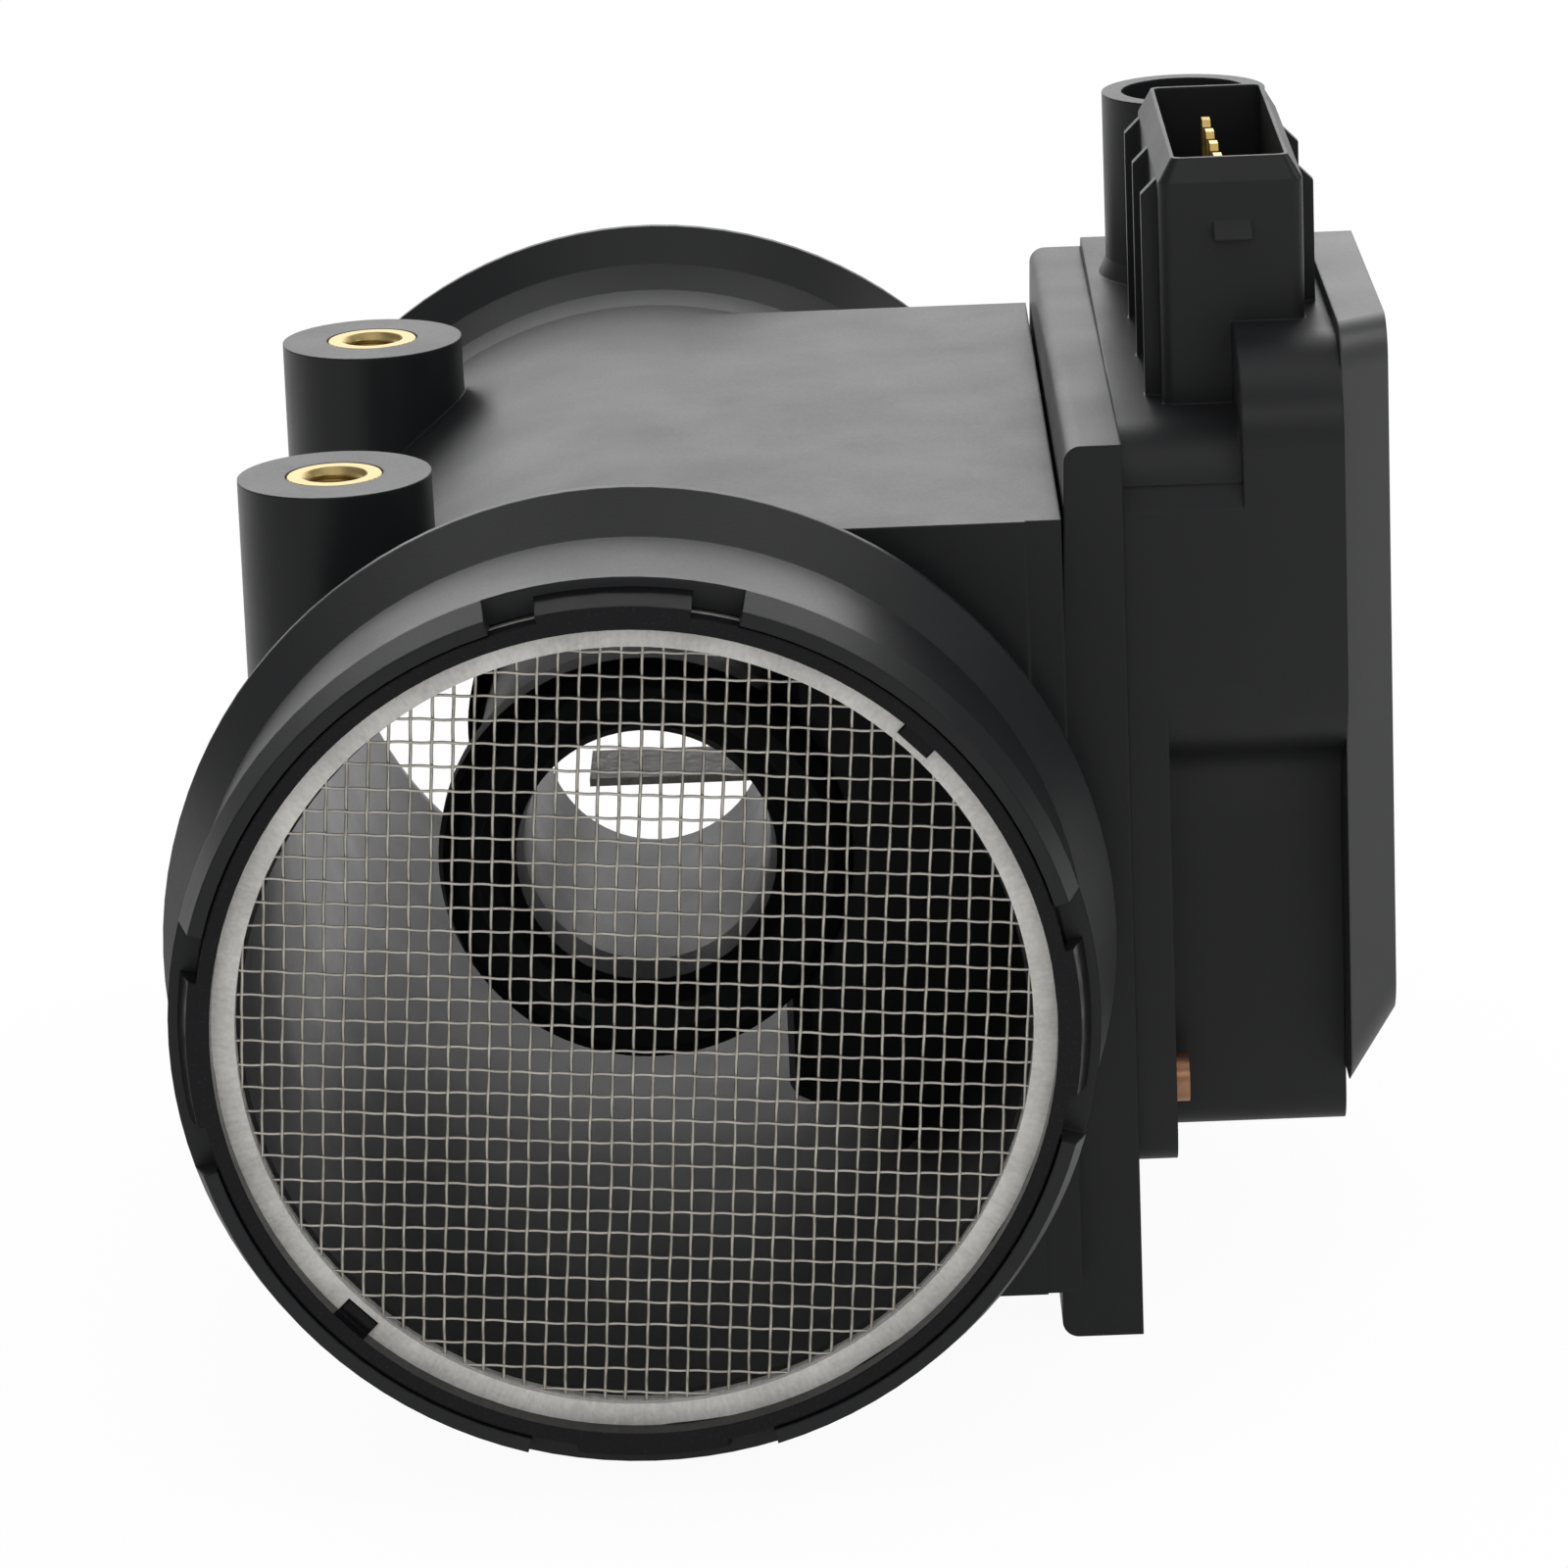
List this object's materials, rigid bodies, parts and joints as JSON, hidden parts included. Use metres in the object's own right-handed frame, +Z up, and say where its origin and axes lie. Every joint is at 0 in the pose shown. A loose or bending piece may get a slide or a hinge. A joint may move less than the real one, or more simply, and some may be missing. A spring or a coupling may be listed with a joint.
{
  "type": "mass airflow sensor",
  "caption": "Straight plastic duct with a screened inlet, an inner measuring tube, threaded bracket bosses and a side circuit module with an upright connector.",
  "frame": {"origin": "on the duct's axis, in the plane of the inlet rim's front face", "axes": "+Y along the air flow, from the inlet to the outlet; +X towards the circuit module; +Z up, the way the connector and the bracket bosses point"},
  "size_m": [0.1166, 0.1555, 0.112],
  "materials": {
    "housing_plastic": "black glass-filled nylon, satin, fine moulded grain",
    "case_plastic": "black glass-filled polyester, satin",
    "cover_plastic": "black glass-filled polyester, dull, slightly greyer",
    "tube_plastic": "black polyester, smooth satin",
    "retainer_plastic": "black, glossy, with a wavy sealed edge",
    "carrier_plastic": "black, smooth",
    "screen_metal": "turned, bright satin",
    "screen_wire": "plain woven stainless wire",
    "insert_brass": "turned and knurled, dull",
    "pin_gold": "gold flashed contact",
    "screw_copper": "copper coloured plating",
    "sink_aluminium": "milled plate",
    "circuit_ceramic": "white fired ceramic substrate",
    "sensor_ceramic": "thin fired ceramic with a glazed sensing layer",
    "transistor_plastic": "moulded epoxy package",
    "seal_rubber": "black silicone rubber"
  },
  "bodies": {
    "root": {"duct_housing": "housing_plastic", "thread_insert_front": "insert_brass", "thread_insert_rear": "insert_brass", "screen_mesh": "screen_wire", "screen_frame": "screen_metal", "screen_retainer": "retainer_plastic", "measuring_tube": "tube_plastic", "plug_seal": "seal_rubber", "sensor_carrier": "carrier_plastic", "sensor_element": "sensor_ceramic", "module_case": "case_plastic", "module_cover": "cover_plastic", "cover_seal": "seal_rubber", "heat_sink": "sink_aluminium", "hybrid_circuit": "circuit_ceramic", "power_transistor": "transistor_plastic", "connector_pin_1": "pin_gold", "connector_pin_2": "pin_gold", "connector_pin_3": "pin_gold", "connector_pin_4": "pin_gold", "connector_pin_5": "pin_gold", "module_screw_front": "screw_copper", "module_screw_rear_lower": "screw_copper", "module_screw_rear_upper": "screw_copper"}
  },
  "joints": []
}
